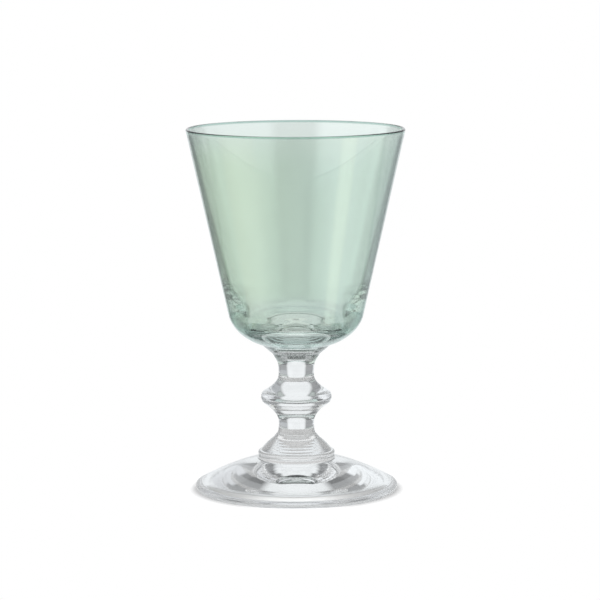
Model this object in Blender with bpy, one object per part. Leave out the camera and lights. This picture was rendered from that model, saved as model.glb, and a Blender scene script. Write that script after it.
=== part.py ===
"""A stemmed wine glass: a conical bowl with a lustre film outside, a pressed stem with a knop, and a foot.

Each piece is a turned solid about the Z axis. The glass stands on z = 0, with its axis through the
origin. Profiles are lists of (radius, height) points in millimetres, and MM turns them into metres.
"""

import math

import bmesh
import bpy

MM = 0.001

# Driving dimensions, in millimetres. Heights (names ending in _Z) are above the table.
TOTAL_HEIGHT = 133.5
RIM_RADIUS = 40.0
RIM_THICKNESS = 1.15
WALL_SLOPE = 0.2245  # how much the radius of the bowl's outer wall grows per unit of height
WALL_START_Z = 64.7  # where the bowl's rounded corner runs into its straight wall
BOWL_FLOOR_Z = 61.6  # inside the bowl; everything below it down to the stem is solid glass
BOWL_BASE_Z = 54.2  # where the bowl is fused to the stem
COLLAR_RADIUS = 12.9  # of the stem's conical top, at that joint

NECK_RADIUS = 6.5
KNOP_RADIUS = 13.0
KNOP_LOW_Z = 32.6
KNOP_HIGH_Z = 36.5
FLANGE_RADIUS = 14.1  # of the two rings, one on the stem and one on the foot, that meet at the lower joint
STEM_BASE_Z = 13.2  # where the stem is fused to the foot

FOOT_RADIUS = 37.3
FOOT_EDGE_RADIUS = 1.5
FOOT_CONE_TOP_Z = 11.6
HOLLOW_RADIUS = 33.0
HOLLOW_DEPTH = 4.0

JOINT_GAP = 0.3  # kept between two pieces of glass that meet
COAT_GAP = 0.06
COAT_THICKNESS = 0.14
COAT_TOP_Z = TOTAL_HEIGHT - 0.8  # the film stops just under the rounded lip

SIDES = 48
CURVE_STEPS = 4


def remove_everything():
    for thing in list(bpy.data.objects):
        bpy.data.objects.remove(thing, do_unlink=True)


def arc(centre, radius, start_deg, end_deg, steps=CURVE_STEPS):
    """Points on a circular arc, both ends included."""
    points = []
    for i in range(steps + 1):
        angle = math.radians(start_deg + (end_deg - start_deg) * i / steps)
        points.append((centre[0] + radius * math.cos(angle), centre[1] + radius * math.sin(angle)))
    return points


def bezier(start, start_pull, end_pull, end, steps=CURVE_STEPS):
    """Points on a cubic curve, both ends included."""
    points = []
    for i in range(steps + 1):
        t = i / steps
        weights = ((1 - t) ** 3, 3 * t * (1 - t) ** 2, 3 * t * t * (1 - t), t ** 3)
        knots = (start, start_pull, end_pull, end)
        points.append(tuple(sum(w * k[axis] for w, k in zip(weights, knots)) for axis in (0, 1)))
    return points


def join(*stretches):
    """One outline from several stretches, without the points that two neighbours share."""
    outline = []
    for stretch in stretches:
        for point in stretch:
            if not outline or math.dist(point, outline[-1]) > 1e-4:
                outline.append(point)
    return outline


def turned(name, outline, material, closed=False):
    """Turn an outline about Z. An open one runs from the axis, up the outside and back to the axis."""
    mesh = bpy.data.meshes.new(name)
    bm = bmesh.new()
    rings = []
    for radius, height in outline:
        if radius < 1e-6:
            rings.append([bm.verts.new((0.0, 0.0, height * MM))])
            continue
        ring = []
        for i in range(SIDES):
            angle = 2 * math.pi * i / SIDES
            place = (radius * MM * math.cos(angle), radius * MM * math.sin(angle), height * MM)
            ring.append(bm.verts.new(place))
        rings.append(ring)
    pairs = list(zip(rings, rings[1:]))
    if closed:
        pairs.append((rings[-1], rings[0]))
    for lower, upper in pairs:
        for i in range(SIDES):
            j = (i + 1) % SIDES
            low_edge = [lower[i % len(lower)], lower[j % len(lower)]]
            high_edge = [upper[j % len(upper)], upper[i % len(upper)]]
            bm.faces.new(list(dict.fromkeys(low_edge + high_edge)))
    bmesh.ops.recalc_face_normals(bm, faces=bm.faces)
    bm.to_mesh(mesh)
    bm.free()
    mesh.shade_smooth()
    mesh.set_sharp_from_angle(angle=math.radians(35))
    mesh.materials.append(material)
    thing = bpy.data.objects.new(name, mesh)
    bpy.context.collection.objects.link(thing)
    return thing


def glass(name, colour, roughness, transmission=1.0):
    material = bpy.data.materials.new(name)
    material.use_nodes = True
    shader = material.node_tree.nodes["Principled BSDF"]
    shader.inputs["Base Color"].default_value = (*colour, 1.0)
    shader.inputs["Roughness"].default_value = roughness
    shader.inputs["Metallic"].default_value = 0.0
    shader.inputs["Transmission Weight"].default_value = transmission
    return material


def wall_radius(height):
    """Radius of the outside of the coated bowl's straight wall at a height."""
    lip_z = TOTAL_HEIGHT - RIM_THICKNESS / 2
    return RIM_RADIUS - WALL_SLOPE * (lip_z - height)


def outer_bowl_curve(inset):
    """The bowl's outside from the stem up to the end of the rounded corner, moved inwards by inset."""
    base_edge = (COLLAR_RADIUS + 0.4, BOWL_BASE_Z + JOINT_GAP + inset)
    low_pull = (19.0 - inset / 2, 56.0 + inset)
    high_pull = (23.5 - inset, 60.2 + inset / 2)
    wall_start = (wall_radius(WALL_START_Z) - inset, WALL_START_Z + inset * WALL_SLOPE)
    return bezier(base_edge, low_pull, high_pull, wall_start, 7)


def make_bowl(material):
    """The drinking bowl: thin at the rim, thick at the corner, on a solid base that widens from the stem."""
    inset = COAT_GAP + COAT_THICKNESS
    lip_radius = RIM_THICKNESS / 2
    lip_centre = (RIM_RADIUS - lip_radius, TOTAL_HEIGHT - lip_radius)
    base_z = BOWL_BASE_Z + JOINT_GAP / 2
    base = [(0.0, base_z), (COLLAR_RADIUS, base_z)]
    wall_top = [(wall_radius(COAT_TOP_Z) - inset, COAT_TOP_Z)]
    lip = arc(lip_centre, lip_radius, 0, 180)
    inner_wall = [(31.4, 103.6), (25.4, 80.2)]
    inner_heel = bezier((25.4, 80.2), (24.2, 74.8), (22.0, 70.6), (20.3, 66.6))
    inner_corner = bezier((20.3, 66.6), (19.3, 64.2), (18.9, BOWL_FLOOR_Z), (16.4, BOWL_FLOOR_Z), 5)
    floor = [(14.0, BOWL_FLOOR_Z + 0.2), (12.3, BOWL_FLOOR_Z + 0.3), (0.0, BOWL_FLOOR_Z)]
    outline = join(base, outer_bowl_curve(inset), wall_top, lip, inner_wall, inner_heel, inner_corner, floor)
    return turned("bowl", outline, material)


def make_lustre_coat(material):
    """The film on the outside of the bowl, from its joint with the stem to just under the lip."""
    outside = join(outer_bowl_curve(0.0), [(wall_radius(COAT_TOP_Z), COAT_TOP_Z)])
    inside = join(outer_bowl_curve(COAT_THICKNESS), [(wall_radius(COAT_TOP_Z) - COAT_THICKNESS, COAT_TOP_Z)])
    return turned("lustre_coat", outside + inside[::-1], material, closed=True)


def make_stem(material):
    """The solid stem, from the ring on the foot up through skirt, neck, knop and neck to the collar."""
    flange_bottom = STEM_BASE_Z + JOINT_GAP / 2
    collar_top = BOWL_BASE_Z - JOINT_GAP / 2
    bead = 0.75  # radius of the flange's rounded edge
    flange = arc((FLANGE_RADIUS - bead, flange_bottom + bead), bead, -90, 90)
    skirt = bezier((12.9, flange_bottom + 1.6), (12.0, 16.3), (10.4, 17.9), (8.5, 19.4))
    neck_start = bezier((6.9, 21.3), (6.5, 22.8), (NECK_RADIUS, 23.8), (NECK_RADIUS, 25.3))
    lower_neck = join([(7.2, 21.0)], neck_start)

    knop_shoulder = KNOP_RADIUS - 0.8
    knop_pull = KNOP_RADIUS + 0.25
    knop_bottom = bezier((6.9, 27.0), (8.0, 29.6), (10.4, 31.2), (knop_shoulder, KNOP_LOW_Z))
    knop_edge = bezier(
        (knop_shoulder, KNOP_LOW_Z), (knop_pull, KNOP_LOW_Z + 0.9), (knop_pull, KNOP_HIGH_Z - 0.8),
        (knop_shoulder, KNOP_HIGH_Z),
    )
    knop_top = bezier((knop_shoulder, KNOP_HIGH_Z), (10.0, 37.8), (7.8, 39.3), (6.9, 41.2))

    upper_neck = bezier((6.6, 42.2), (NECK_RADIUS - 0.1, 44.0), (NECK_RADIUS, 46.6), (7.0, 47.6))
    collar_flare = bezier((7.0, 47.6), (7.6, 48.8), (8.4, 50.2), (9.2, 51.2))
    collar = join(collar_flare, [(9.7, 51.45), (COLLAR_RADIUS, collar_top)])
    outline = join(
        [(0.0, flange_bottom)], flange, skirt, lower_neck, knop_bottom, knop_edge, knop_top,
        upper_neck, collar, [(0.0, collar_top)],
    )
    return turned("stem", outline, material)


def make_foot(material):
    """The foot: a cone with a rounded edge, its own ring under the stem's, and a shallow hollow beneath."""
    ring_top = STEM_BASE_Z - JOINT_GAP / 2
    hollow = bezier((0.0, HOLLOW_DEPTH), (18.0, HOLLOW_DEPTH), (27.0, 3.6), (HOLLOW_RADIUS, 0.35), 7)
    standing_ring = [(HOLLOW_RADIUS + 0.6, 0.0), (FOOT_RADIUS - 1.1, 0.0)]
    edge = arc((FOOT_RADIUS - FOOT_EDGE_RADIUS, FOOT_EDGE_RADIUS), FOOT_EDGE_RADIUS, -60, 70)
    cone = bezier((36.2, 2.95), (30.5, 6.0), (22.0, 10.2), (14.4, FOOT_CONE_TOP_Z), 6)
    ring = [
        (FLANGE_RADIUS - 0.2, FOOT_CONE_TOP_Z + 0.2), (FLANGE_RADIUS, FOOT_CONE_TOP_Z + 0.6),
        (FLANGE_RADIUS, ring_top - 0.35), (FLANGE_RADIUS - 0.5, ring_top), (0.0, ring_top),
    ]
    return turned("foot", join(hollow, standing_ring, edge, cone, ring), material)


def main():
    remove_everything()
    clear_glass = glass("clear_glass", (0.93, 0.96, 0.95), 0.02)
    lustre = glass("green_lustre", (0.55, 0.74, 0.62), 0.08)
    make_bowl(clear_glass)
    make_lustre_coat(lustre)
    make_stem(clear_glass)
    make_foot(clear_glass)


main()
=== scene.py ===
"""The looks of a stemmed wine glass: clear blown and pressed glass, with a green lustre film on the bowl.

Every piece is turned about the glass's own axis. Profiles are (radius, height) points in millimetres,
as in the CAD source, and the heights where two pieces are fused come from the frame.
"""

import math

import bmesh
import bpy
from mathutils import Matrix, Vector


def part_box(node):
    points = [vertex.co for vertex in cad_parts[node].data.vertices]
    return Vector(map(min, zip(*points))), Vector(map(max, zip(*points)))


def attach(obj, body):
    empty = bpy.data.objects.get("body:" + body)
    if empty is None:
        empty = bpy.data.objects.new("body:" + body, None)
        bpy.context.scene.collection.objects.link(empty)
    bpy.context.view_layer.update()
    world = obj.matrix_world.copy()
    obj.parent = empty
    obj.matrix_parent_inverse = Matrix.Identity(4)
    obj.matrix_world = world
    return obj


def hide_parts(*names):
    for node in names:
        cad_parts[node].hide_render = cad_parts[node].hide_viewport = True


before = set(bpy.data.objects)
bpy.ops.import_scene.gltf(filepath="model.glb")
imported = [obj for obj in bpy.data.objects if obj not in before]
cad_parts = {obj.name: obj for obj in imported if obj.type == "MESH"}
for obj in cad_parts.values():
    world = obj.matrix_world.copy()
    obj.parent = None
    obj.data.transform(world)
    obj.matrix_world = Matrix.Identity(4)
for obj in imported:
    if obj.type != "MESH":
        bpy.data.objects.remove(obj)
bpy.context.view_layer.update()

MM = 0.001
SIDES = 192
CURVE_STEPS = 20
CAP_STEPS = 6

bowl_low, bowl_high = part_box("bowl")
stem_low, stem_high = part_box("stem")
coat_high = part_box("lustre_coat")[1]
foot_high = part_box("foot")[1]

RIM_RADIUS = bowl_high[0] / MM - 0.01  # keeps the turned mesh inside the measured box
TOP_Z = bowl_high[2] / MM
COAT_TOP_Z = coat_high[2] / MM
FOOT_RADIUS = foot_high[0] / MM
BOWL_WELD_Z = (bowl_low[2] + stem_high[2]) / 2 / MM
FOOT_WELD_Z = (stem_low[2] + foot_high[2]) / 2 / MM

# Sizes in millimetres. Heights (names ending in _Z) are above the table.
RIM_THICKNESS = 1.15
WALL_SLOPE = 0.2245  # how much the radius of the bowl's outer wall grows per unit of height
WALL_START_Z = 64.7  # where the bowl's rounded corner runs into its straight wall
WALL_END_Z = TOP_Z - 0.7  # where that wall would reach the rim's full radius
BOWL_FLOOR_Z = 61.6  # inside the bowl
FLOOR_RISE = 0.3  # of a low ring round the middle of that floor
FILM_THICKNESS = 0.02  # thin enough to read as part of the glass
FILM_GAP = 0.004
WELD_RADIUS_TOP = 12.9
COLLAR_LINE_Z = 53.6  # of a fine ring of painted shade round the collar, just under its joint with the bowl
NECK_RADIUS = 6.5
KNOP_RADIUS = 13.0
KNOP_LOW_Z = 32.6
KNOP_HIGH_Z = 36.5
RING_PITCH = 1.25  # of the fine rings on the stem's skirt
RING_DEPTH = 0.01
WELD_RADIUS_BOTTOM = 13.6
FOOT_EDGE_RADIUS = 1.5
HOLLOW_RADIUS = 33.0
HOLLOW_DEPTH = 4.0
FLOOR_RADIUS = 45.0  # of the round patch of table that the glass stands on

# Lit surfaces of the studio, in degrees as seen from the glass. Azimuth 0 is straight behind it and grows
# to the right. Each is (left, right, low, high, soft side edge, soft end, colour and strength).
PANELS = (
    (-17, 17, -90, 39, 13, 7, (0.90, 0.925, 0.945)),  # white sweep behind
    (-170, 0, -28, -20, 10, 3, (0.38, 0.42, 0.41)),  # low surroundings, left
    (-62, -28, -33, -22, 8, 4, (0.46, 0.50, 0.49)),  # and behind left
    (0, 170, -28, -20, 10, 3, (0.46, 0.49, 0.48)),  # low surroundings, right
    (28, 62, -33, -22, 8, 4, (0.48, 0.52, 0.51)),  # and behind right
    (-62, 62, -8, 14, 6, 6, (0.36, 0.37, 0.38)),  # haze between the sweep and the side lights
    (15, 62, -17, -8, 10, 4, (0.46, 0.48, 0.50)),  # below it, right
    (-62, -15, -17, -8, 10, 4, (0.32, 0.33, 0.34)),  # below it, left
    (-115, -64, -14, 8, 10, 8, (0.97, 1.0, 1.03)),  # left light, lower half
    (-115, -56, 12, 32, 8, 6, (0.97, 1.0, 1.03)),  # upper half
    (-145, -95, -18, 30, 22, 8, (0.97, 1.0, 1.03)),  # front end
    (66, 115, -14, 8, 10, 8, (0.73, 0.75, 0.78)),  # right light, lower half
    (58, 115, 12, 32, 12, 6, (0.73, 0.75, 0.78)),  # upper half
    (95, 145, -18, 30, 22, 8, (0.73, 0.75, 0.78)),  # front end
    (100, 260, 60, 100, 6, 8, (0.78, 0.80, 0.82)),  # overhead light, on the front side
    (160, 200, 36, 60, 12, 6, (0.78, 0.80, 0.82)),  # its lower end
    (-118, -102, -29, -22, 45, 6, (0.54, 0.54, 0.48)),  # the table's glow, left
    (102, 118, -29, -22, 45, 6, (0.50, 0.52, 0.52)),  # the table's glow, right
    (113, 121, -34, -26, 16, 10, (0.82, 0.82, 0.70)),  # small warm light
)

LENS = 171.1
SENSOR_WIDTH = 36.0
CAMERA_PLACE = (0.00146, -1.036, 0.2145)  # in metres
CAMERA_DOWN_DEG = 7.92
CAMERA_ROLL_DEG = -0.17
MOST_BOUNCES = 32  # light crosses many glass faces before it leaves

# ---------------------------------------------------------------- outlines


def arc(centre, radius, start_deg, end_deg, steps=CURVE_STEPS):
    """Points on a circular arc, both ends included."""
    points = []
    for i in range(steps + 1):
        angle = math.radians(start_deg + (end_deg - start_deg) * i / steps)
        points.append((centre[0] + radius * math.cos(angle), centre[1] + radius * math.sin(angle)))
    return points


def bezier(start, start_pull, end_pull, end, steps=CURVE_STEPS):
    """Points on a cubic curve, both ends included."""
    points = []
    for i in range(steps + 1):
        t = i / steps
        weights = ((1 - t) ** 3, 3 * t * (1 - t) ** 2, 3 * t * t * (1 - t), t ** 3)
        knots = (start, start_pull, end_pull, end)
        points.append(tuple(sum(w * k[axis] for w, k in zip(weights, knots)) for axis in (0, 1)))
    return points


def line(start, end, steps=CURVE_STEPS):
    """Points on a straight line, both ends included."""
    return [tuple(a + (b - a) * i / steps for a, b in zip(start, end)) for i in range(steps + 1)]


def join(*stretches):
    """One outline from several stretches, without the points that two neighbours share."""
    outline = []
    for stretch in stretches:
        for point in stretch:
            if not outline or math.dist(point, outline[-1]) > 1e-5:
                outline.append(point)
    return outline


def rippled(outline):
    """The fine rings that a mould leaves: the outline waves inwards along its length."""
    points, length = [outline[0]], 0.0
    for before, here in zip(outline, outline[1:]):
        step = math.dist(before, here)
        length += step
        across = ((here[1] - before[1]) / step, (before[0] - here[0]) / step)
        wave = RING_DEPTH * (math.cos(2 * math.pi * length / RING_PITCH) - 1) / 2
        points.append((here[0] + across[0] * wave, here[1] + across[1] * wave))
    return points


def wall_radius(height):
    """Radius of the outside of the coated bowl's straight wall at a height."""
    return RIM_RADIUS - WALL_SLOPE * (WALL_END_Z - height)


def outer_bowl_curve(inset):
    """The bowl's outside from the stem up to the end of the rounded corner, moved inwards by inset."""
    base_edge = (WELD_RADIUS_TOP + inset * 0.3, BOWL_WELD_Z + inset)
    low_pull = (19.0 - inset * 0.5, 56.0 + inset)
    high_pull = (23.5 - inset, 60.2 + inset * 0.4)
    wall_start = (wall_radius(WALL_START_Z) - inset, WALL_START_Z + inset * WALL_SLOPE)
    return bezier(base_edge, low_pull, high_pull, wall_start, steps=40)


# ---------------------------------------------------------------- meshes


def turned(name, stretches, materials, closed=False):
    """Turn stretches of outline about Z. Each stretch is (points, index of its material)."""
    outline, slots = [], []
    for points, slot in stretches:
        for point in points:
            if outline and math.dist(point, outline[-1]) < 1e-5:
                continue
            outline.append(point)
            slots.append(slot)
    bm = bmesh.new()
    rings = []
    for radius, height in outline:
        if radius < 1e-6:
            rings.append([bm.verts.new((0.0, 0.0, height * MM))])
            continue
        ring = []
        for i in range(SIDES):
            angle = 2 * math.pi * i / SIDES
            place = (radius * MM * math.cos(angle), radius * MM * math.sin(angle), height * MM)
            ring.append(bm.verts.new(place))
        rings.append(ring)
    bands = list(zip(rings, rings[1:], slots[1:]))
    if closed:
        bands.append((rings[-1], rings[0], slots[0]))
    for lower, upper, slot in bands:
        for i in range(SIDES):
            j = (i + 1) % SIDES
            low_edge = [lower[i % len(lower)], lower[j % len(lower)]]
            high_edge = [upper[j % len(upper)], upper[i % len(upper)]]
            face = bm.faces.new(list(dict.fromkeys(low_edge + high_edge)))
            face.material_index = slot
    bmesh.ops.recalc_face_normals(bm, faces=bm.faces)
    mesh = bpy.data.meshes.new(name)
    bm.to_mesh(mesh)
    bm.free()
    mesh.shade_smooth()
    mesh.set_sharp_from_angle(angle=math.radians(32))
    for material in materials:
        mesh.materials.append(material)
    piece = bpy.data.objects.new(name, mesh)
    bpy.context.collection.objects.link(piece)
    return piece


# ---------------------------------------------------------------- materials


class Nodes:
    """A short way to write a node tree."""

    def __init__(self, tree):
        self.tree = tree

    def add(self, kind, **settings):
        node = self.tree.nodes.new(kind)
        for key, value in settings.items():
            setattr(node, key, value)
        return node

    def feed(self, socket, value):
        if isinstance(value, bpy.types.NodeSocket):
            self.tree.links.new(value, socket)
        else:
            socket.default_value = value

    def math(self, operation, *values):
        node = self.add("ShaderNodeMath", operation=operation)
        for socket, value in zip(node.inputs, values):
            self.feed(socket, value)
        return node.outputs[0]

    def vector(self, operation, *values):
        node = self.add("ShaderNodeVectorMath", operation=operation)
        for socket, value in zip(node.inputs, values):
            self.feed(socket, value)
        return node.outputs[0]

    def split(self, vector):
        """The x, y and z of a vector."""
        node = self.add("ShaderNodeSeparateXYZ")
        self.feed(node.inputs[0], vector)
        return tuple(node.outputs)

    def distance_from(self, value, middle):
        return self.math("ABSOLUTE", self.math("SUBTRACT", value, middle))

    def smooth(self, value, low, high, to_low=0.0, to_high=1.0):
        node = self.add("ShaderNodeMapRange", interpolation_type="SMOOTHSTEP")
        for socket, entry in zip(node.inputs, (value, low, high, to_low, to_high)):
            self.feed(socket, entry)
        return node.outputs[0]

    def mix(self, factor, first, second, blend="MIX"):
        node = self.add("ShaderNodeMix", data_type="RGBA", blend_type=blend)
        for socket, entry in zip((node.inputs[0], node.inputs[6], node.inputs[7]), (factor, first, second)):
            self.feed(socket, entry)
        return node.outputs[2]

    def noise(self, vector, scale, detail=2.0):
        node = self.add("ShaderNodeTexNoise")
        self.feed(node.inputs["Vector"], vector)
        self.feed(node.inputs["Scale"], scale)
        self.feed(node.inputs["Detail"], detail)
        return node.outputs["Fac"]


def new_material(name):
    material = bpy.data.materials.new(name)
    material.use_nodes = True
    return material, Nodes(material.node_tree), material.node_tree.nodes["Principled BSDF"]


def rgb(red, green, blue):
    return (red, green, blue, 1.0)


def clear_glass(name, edge_roughness=0.0):
    """Glass with a faint cloud in it. It is darker where it is seen edge on, partly for the longer path
    through the glass and partly as painted shade, and painted shade darkens it at the lip and in a fine
    ring round the collar.

    The foot's outer edge is a little darker too, by painted shade, and can be less smooth than the rest.
    """
    material, nodes, shader = new_material(name)
    place = nodes.add("ShaderNodeTexCoord").outputs["Object"]
    facing = nodes.add("ShaderNodeLayerWeight").outputs["Facing"]
    x, y, z = nodes.split(place)
    # Partly painted shade: darker where seen edge on, for the dark that the edges show as well as for the
    # longer path through the glass.
    tint = nodes.mix(nodes.smooth(facing, 0.3, 1.0), rgb(0.99, 0.995, 0.99), rgb(0.88, 0.90, 0.90))

    # Painted shade: the top of the lip is darkened to a teal line.
    lip = nodes.smooth(z, (TOP_Z - 1.0) * MM, (TOP_Z - 0.6) * MM)
    tint = nodes.mix(lip, tint, rgb(0.5, 0.66, 0.6))

    squares = nodes.math("ADD", nodes.math("POWER", x, 2.0), nodes.math("POWER", y, 2.0))
    radius = nodes.math("SQRT", squares)
    # Painted shade: the foot's outer edge is darkened. The same mask also makes that edge less smooth.
    outer = nodes.smooth(radius, (FOOT_RADIUS - 2.0) * MM, (FOOT_RADIUS - 0.9) * MM)
    foot_edge = nodes.math("MULTIPLY", outer, nodes.smooth(z, 4.0 * MM, 6.0 * MM, 1.0, 0.0))
    tint = nodes.mix(foot_edge, tint, rgb(0.86, 0.88, 0.89))

    # Painted shade: a fine dark ring round the collar, standing in for the crisp dark line that shows
    # through the bowl's floor.
    off_line = nodes.distance_from(z, COLLAR_LINE_Z * MM)
    painted_collar_shade = nodes.smooth(off_line, 0.15 * MM, 0.4 * MM, 1.0, 0.0)
    tint = nodes.mix(painted_collar_shade, tint, rgb(0.35, 0.39, 0.37))

    cloud = nodes.smooth(nodes.noise(place, 40.0), 0.3, 0.7, 0.985, 1.0)
    nodes.feed(shader.inputs["Base Color"], nodes.mix(1.0, tint, cloud, "MULTIPLY"))
    shader.inputs["Roughness"].default_value = 0.0
    if edge_roughness:
        nodes.feed(shader.inputs["Roughness"], nodes.math("MULTIPLY", foot_edge, edge_roughness))
    shader.inputs["IOR"].default_value = 1.5
    shader.inputs["Transmission Weight"].default_value = 1.0
    return material


def green_lustre():
    """Thin metallic film: green with broad soft streaks, paler under the lip and on the thick base, and
    dark teal where seen edge on, partly for the longer path through the film and partly as painted shade.
    """
    material, nodes, shader = new_material("green_lustre")
    place = nodes.add("ShaderNodeTexCoord").outputs["Object"]
    facing = nodes.add("ShaderNodeLayerWeight").outputs["Facing"]
    x, _, z = nodes.split(place)
    cloud = nodes.smooth(nodes.noise(place, 14.0), 0.3, 0.7)
    shifted = nodes.math("ADD", x, nodes.math("MULTIPLY", cloud, 12.0 * MM))
    streak = nodes.smooth(shifted, -30.0 * MM, 20.0 * MM)
    tint = nodes.mix(streak, rgb(0.87, 0.963, 0.857), rgb(0.86, 0.95, 0.893))

    under_lip = nodes.smooth(z, 121.0 * MM, 133.0 * MM)
    tint = nodes.mix(under_lip, tint, rgb(0.905, 0.975, 0.925))
    above_base = nodes.smooth(z, 56.0 * MM, 68.0 * MM)
    tint = nodes.mix(above_base, rgb(0.88, 0.95, 0.93), tint)

    # Partly painted shade: dark teal where seen edge on, reaching further in near the base, for the dark
    # that the bowl's sides show as well as for the longer path through the film.
    edge_start = nodes.smooth(z, 62.0 * MM, 74.0 * MM, 0.25, 0.66)
    tint = nodes.mix(nodes.smooth(facing, edge_start, 0.95), tint, rgb(0.38, 0.58, 0.52))
    nodes.feed(shader.inputs["Base Color"], tint)
    shader.inputs["Roughness"].default_value = 0.0
    shader.inputs["IOR"].default_value = 1.75
    shader.inputs["Transmission Weight"].default_value = 1.0
    return material


def weld():
    """The inside of a hot joint, where glass runs on into glass and nothing shows."""
    material = bpy.data.materials.new("weld")
    material.use_nodes = True
    tree = material.node_tree
    tree.nodes.clear()
    clear = tree.nodes.new("ShaderNodeBsdfTransparent")
    output = tree.nodes.new("ShaderNodeOutputMaterial")
    tree.links.new(clear.outputs[0], output.inputs["Surface"])
    return material


def pale_floor():
    """Matt and pale, and glowing with painted light: nearly white outside the foot, and under it a painted
    pool of light, brightest at the middle of the front, with painted shade towards the back and the sides.
    """
    material, nodes, shader = new_material("pale_floor")
    place = nodes.add("ShaderNodeTexCoord").outputs["Object"]
    x, y, _ = nodes.split(place)
    distance = nodes.add("ShaderNodeVectorMath", operation="LENGTH")
    nodes.feed(distance.inputs[0], place)
    # Painted light and shade: a pool of light under the foot at the middle of the front, falling off
    # towards the back and the sides.
    lengthways = nodes.smooth(y, -34.0 * MM, 10.0 * MM, 1.0, 0.45)
    sideways = nodes.smooth(nodes.math("ABSOLUTE", x), 7.0 * MM, 24.0 * MM, 1.05, 0.62)
    glow = nodes.math("MULTIPLY", lengthways, sideways)
    # Nearly white outside the foot. The soft step between, just outside the foot's edge, is a painted
    # shadow.
    glow = nodes.smooth(distance.outputs["Value"], 35.5 * MM, 40.5 * MM, glow, 0.95)
    shader.inputs["Base Color"].default_value = rgb(0.3, 0.3, 0.3)
    shader.inputs["Roughness"].default_value = 0.9
    shader.inputs["Specular IOR Level"].default_value = 0.0
    shader.inputs["Emission Color"].default_value = rgb(1.0, 1.0, 1.0)
    nodes.feed(shader.inputs["Emission Strength"], glow)
    return material


# ---------------------------------------------------------------- pieces


def make_bowl(materials):
    """The drinking bowl: thin at the rim, thick at the corner, on a solid base fused to the stem."""
    inset = FILM_THICKNESS + FILM_GAP
    cap = line((0.0, BOWL_WELD_Z), (WELD_RADIUS_TOP, BOWL_WELD_Z), CAP_STEPS)
    lip_radius = RIM_THICKNESS / 2
    lip_centre = (RIM_RADIUS - lip_radius, TOP_Z - lip_radius)
    wall_start = (wall_radius(WALL_START_Z) - inset, WALL_START_Z + inset * WALL_SLOPE)
    outer_wall = line(wall_start, (wall_radius(lip_centre[1]) - inset, lip_centre[1]), steps=30)
    lip = arc(lip_centre, lip_radius, 0, 180)

    bend, heel_top, corner_top = (31.4, 103.6), (25.4, 80.2), (20.3, 66.6)
    floor_edge, crest_z = (16.4, BOWL_FLOOR_Z), BOWL_FLOOR_Z + FLOOR_RISE
    inner_wall = join(line(lip[-1], bend), line(bend, heel_top))
    heel = bezier(heel_top, (24.2, 74.8), (22.0, 70.6), corner_top, steps=30)
    corner = bezier(corner_top, (19.3, 64.2), (18.9, BOWL_FLOOR_Z), floor_edge, steps=30)
    rise = bezier(floor_edge, (15.2, BOWL_FLOOR_Z), (13.5, crest_z), (12.3, crest_z))
    floor = join(line((12.3, crest_z), (11.7, crest_z)), line((11.7, crest_z), (0.0, BOWL_FLOOR_Z)))
    glass = join(outer_bowl_curve(inset), outer_wall, lip, inner_wall, heel, corner, rise, floor)
    return turned("bowl_glass", [(cap, 1), (glass, 0)], materials)


def make_film(materials):
    """The lustre film: a closed shell on the bowl's outside, from the stem to just under the lip."""
    start = (wall_radius(WALL_START_Z), WALL_START_Z)
    top = (wall_radius(COAT_TOP_Z), COAT_TOP_Z)
    inner_start = (start[0] - FILM_THICKNESS, WALL_START_Z)
    inner_top = (top[0] - FILM_THICKNESS, COAT_TOP_Z)
    outside = join(outer_bowl_curve(0.0), line(start, top, steps=30))
    inside = join(outer_bowl_curve(FILM_THICKNESS), line(inner_start, inner_top, steps=30))
    return turned("lustre_film", [(outside + inside[::-1], 0)], materials, closed=True)


def make_stem(materials):
    """The solid stem, from its flange up through skirt, neck, knop and neck to the collar."""
    cap_low = line((0.0, FOOT_WELD_Z), (WELD_RADIUS_BOTTOM, FOOT_WELD_Z), CAP_STEPS)
    flange = bezier((WELD_RADIUS_BOTTOM, FOOT_WELD_Z), (14.4, 13.3), (14.4, 14.7), (13.0, 14.85))
    skirt_side = bezier((13.0, 14.85), (12.1, 16.2), (10.4, 17.9), (8.5, 19.4), steps=60)
    skirt = rippled(join(skirt_side, line((8.5, 19.4), (7.2, 21.0))))
    lower_neck = bezier((6.9, 21.3), (6.5, 22.8), (NECK_RADIUS, 23.8), (NECK_RADIUS, 25.3))

    knop_shoulder = KNOP_RADIUS - 0.8
    knop_pull = KNOP_RADIUS + 0.25
    knop_bottom = join(
        bezier((NECK_RADIUS, 25.3), (6.5, 26.0), (6.7, 26.5), (6.9, 27.0)),
        bezier((6.9, 27.0), (8.0, 29.6), (10.4, 31.2), (knop_shoulder, KNOP_LOW_Z)),
    )
    knop_edge = bezier(
        (knop_shoulder, KNOP_LOW_Z), (knop_pull, KNOP_LOW_Z + 0.9), (knop_pull, KNOP_HIGH_Z - 0.8),
        (knop_shoulder, KNOP_HIGH_Z),
    )
    knop_top = bezier((knop_shoulder, KNOP_HIGH_Z), (10.0, 37.8), (7.8, 39.3), (6.9, 41.2))

    upper_neck = bezier((6.6, 42.2), (NECK_RADIUS - 0.1, 44.0), (NECK_RADIUS, 46.6), (7.0, 47.6))
    collar_flare = bezier((7.0, 47.6), (7.6, 48.8), (8.4, 50.2), (9.2, 51.2))
    collar = join(collar_flare, line((9.7, 51.45), (WELD_RADIUS_TOP, BOWL_WELD_Z)))
    cap_high = line((WELD_RADIUS_TOP, BOWL_WELD_Z), (0.0, BOWL_WELD_Z), CAP_STEPS)
    glass = join(flange, skirt, lower_neck, knop_bottom, knop_edge, knop_top, upper_neck, collar)
    return turned("stem_glass", [(cap_low, 1), (glass, 0), (cap_high, 1)], materials)


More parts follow.
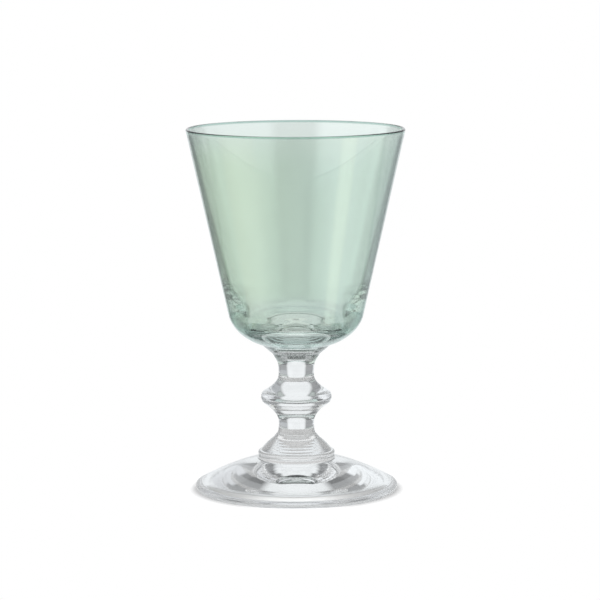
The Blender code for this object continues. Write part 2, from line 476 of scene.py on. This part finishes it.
def make_foot(materials):
    """The foot: a shallow hollow beneath, a ring to stand on, a rounded edge, a cone and its own flange."""
    hollow_edge = (HOLLOW_RADIUS, 0.35)
    hollow = bezier((0.0, HOLLOW_DEPTH), (18.0, HOLLOW_DEPTH), (27.0, 3.6), hollow_edge, steps=60)
    standing_ring = bezier(hollow_edge, (33.6, 0.0), (34.0, 0.0), (34.6, 0.0))
    edge_centre = (FOOT_RADIUS - FOOT_EDGE_RADIUS, FOOT_EDGE_RADIUS)
    edge = join([(36.2, 0.0)], arc(edge_centre, FOOT_EDGE_RADIUS, -60, 70))
    cone = bezier((36.2, 2.95), (30.5, 6.0), (22.0, 10.2), (14.4, 11.6), steps=40)
    flange = bezier((14.4, 11.6), (13.6, 11.8), (14.7, 12.9), (WELD_RADIUS_BOTTOM, FOOT_WELD_Z))
    cap = line((WELD_RADIUS_BOTTOM, FOOT_WELD_Z), (0.0, FOOT_WELD_Z), CAP_STEPS)
    glass = join(hollow, standing_ring, edge, cone, flange)
    return turned("foot_glass", [(glass, 0), (cap, 1)], materials)


# ---------------------------------------------------------------- studio


def make_floor():
    mesh = bpy.data.meshes.new("floor")
    bm = bmesh.new()
    bmesh.ops.create_circle(bm, cap_ends=True, segments=96, radius=FLOOR_RADIUS * MM)
    bm.to_mesh(mesh)
    bm.free()
    mesh.materials.append(pale_floor())
    floor = bpy.data.objects.new("floor", mesh)
    bpy.context.collection.objects.link(floor)


def make_world():
    """A dim room: a lit white sweep behind the glass, a large soft light on each side and one overhead."""
    world = bpy.data.worlds.new("studio")
    bpy.context.scene.world = world
    world.use_nodes = True
    nodes = Nodes(world.node_tree)
    world.node_tree.nodes.clear()
    x, y, z = nodes.split(nodes.add("ShaderNodeTexCoord").outputs["Generated"])
    azimuth = nodes.math("MULTIPLY", nodes.math("ARCTAN2", x, y), 180 / math.pi)
    elevation = nodes.math("MULTIPLY", nodes.math("ARCSINE", z), 180 / math.pi)

    def panel(left, right, low, high, soft_side, soft_end):
        half_width, half_height = (right - left) / 2, (high - low) / 2
        across = nodes.math("WRAP", nodes.math("SUBTRACT", azimuth, (left + right) / 2), 180.0, -180.0)
        across = nodes.math("ABSOLUTE", across)
        up = nodes.distance_from(elevation, (low + high) / 2)
        sideways = nodes.smooth(across, half_width, half_width + soft_side, 1.0, 0.0)
        upwards = nodes.smooth(up, half_height, half_height + soft_end, 1.0, 0.0)
        return nodes.math("MULTIPLY", sideways, upwards)

    # The room's walls are dimly lit from just under the horizon to half way up, and nearly dark beyond.
    off_walls = nodes.distance_from(elevation, 20.0)
    light = nodes.vector("MULTIPLY", nodes.smooth(off_walls, 24.0, 36.0, 0.22, 0.04), (0.95, 0.975, 1.0))
    for left, right, low, high, soft_side, soft_end, colour in PANELS:
        shape = panel(left, right, low, high, soft_side, soft_end)
        light = nodes.vector("MAXIMUM", light, nodes.vector("MULTIPLY", shape, colour))
    seen = nodes.add("ShaderNodeLightPath").outputs["Is Camera Ray"]
    background = nodes.add("ShaderNodeBackground")
    nodes.feed(background.inputs["Color"], nodes.vector("MAXIMUM", light, seen))
    output = nodes.add("ShaderNodeOutputWorld")
    nodes.feed(output.inputs["Surface"], background.outputs[0])


def make_camera():
    camera = bpy.data.cameras.new("camera")
    camera.lens = LENS
    camera.sensor_width = SENSOR_WIDTH
    camera.clip_start = 0.01
    holder = bpy.data.objects.new("camera", camera)
    bpy.context.collection.objects.link(holder)
    holder.matrix_world = (
        Matrix.Translation(Vector(CAMERA_PLACE))
        @ Matrix.Rotation(math.radians(90 - CAMERA_DOWN_DEG), 4, "X")
        @ Matrix.Rotation(math.radians(CAMERA_ROLL_DEG), 4, "Z")
    )
    bpy.context.scene.camera = holder


# ---------------------------------------------------------------- the scene

joint = weld()
plain_glass = clear_glass("clear_glass")
foot_glass = clear_glass("foot_glass", edge_roughness=0.2)
pieces = (
    (make_bowl([plain_glass, joint]), "bowl", "clear_glass"),
    (make_film([green_lustre()]), "lustre_coat", "green_lustre"),
    (make_stem([plain_glass, joint]), "stem", "clear_glass"),
    (make_foot([foot_glass, joint]), "foot", "clear_glass"),
)
for piece, node, slot in pieces:
    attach(piece, "root")
    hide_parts(node)

make_floor()
make_world()
make_camera()

scene = bpy.context.scene
scene.view_settings.view_transform = "Standard"
scene.cycles.max_bounces = MOST_BOUNCES
scene.cycles.transmission_bounces = MOST_BOUNCES
scene.cycles.glossy_bounces = MOST_BOUNCES
scene.cycles.transparent_max_bounces = MOST_BOUNCES
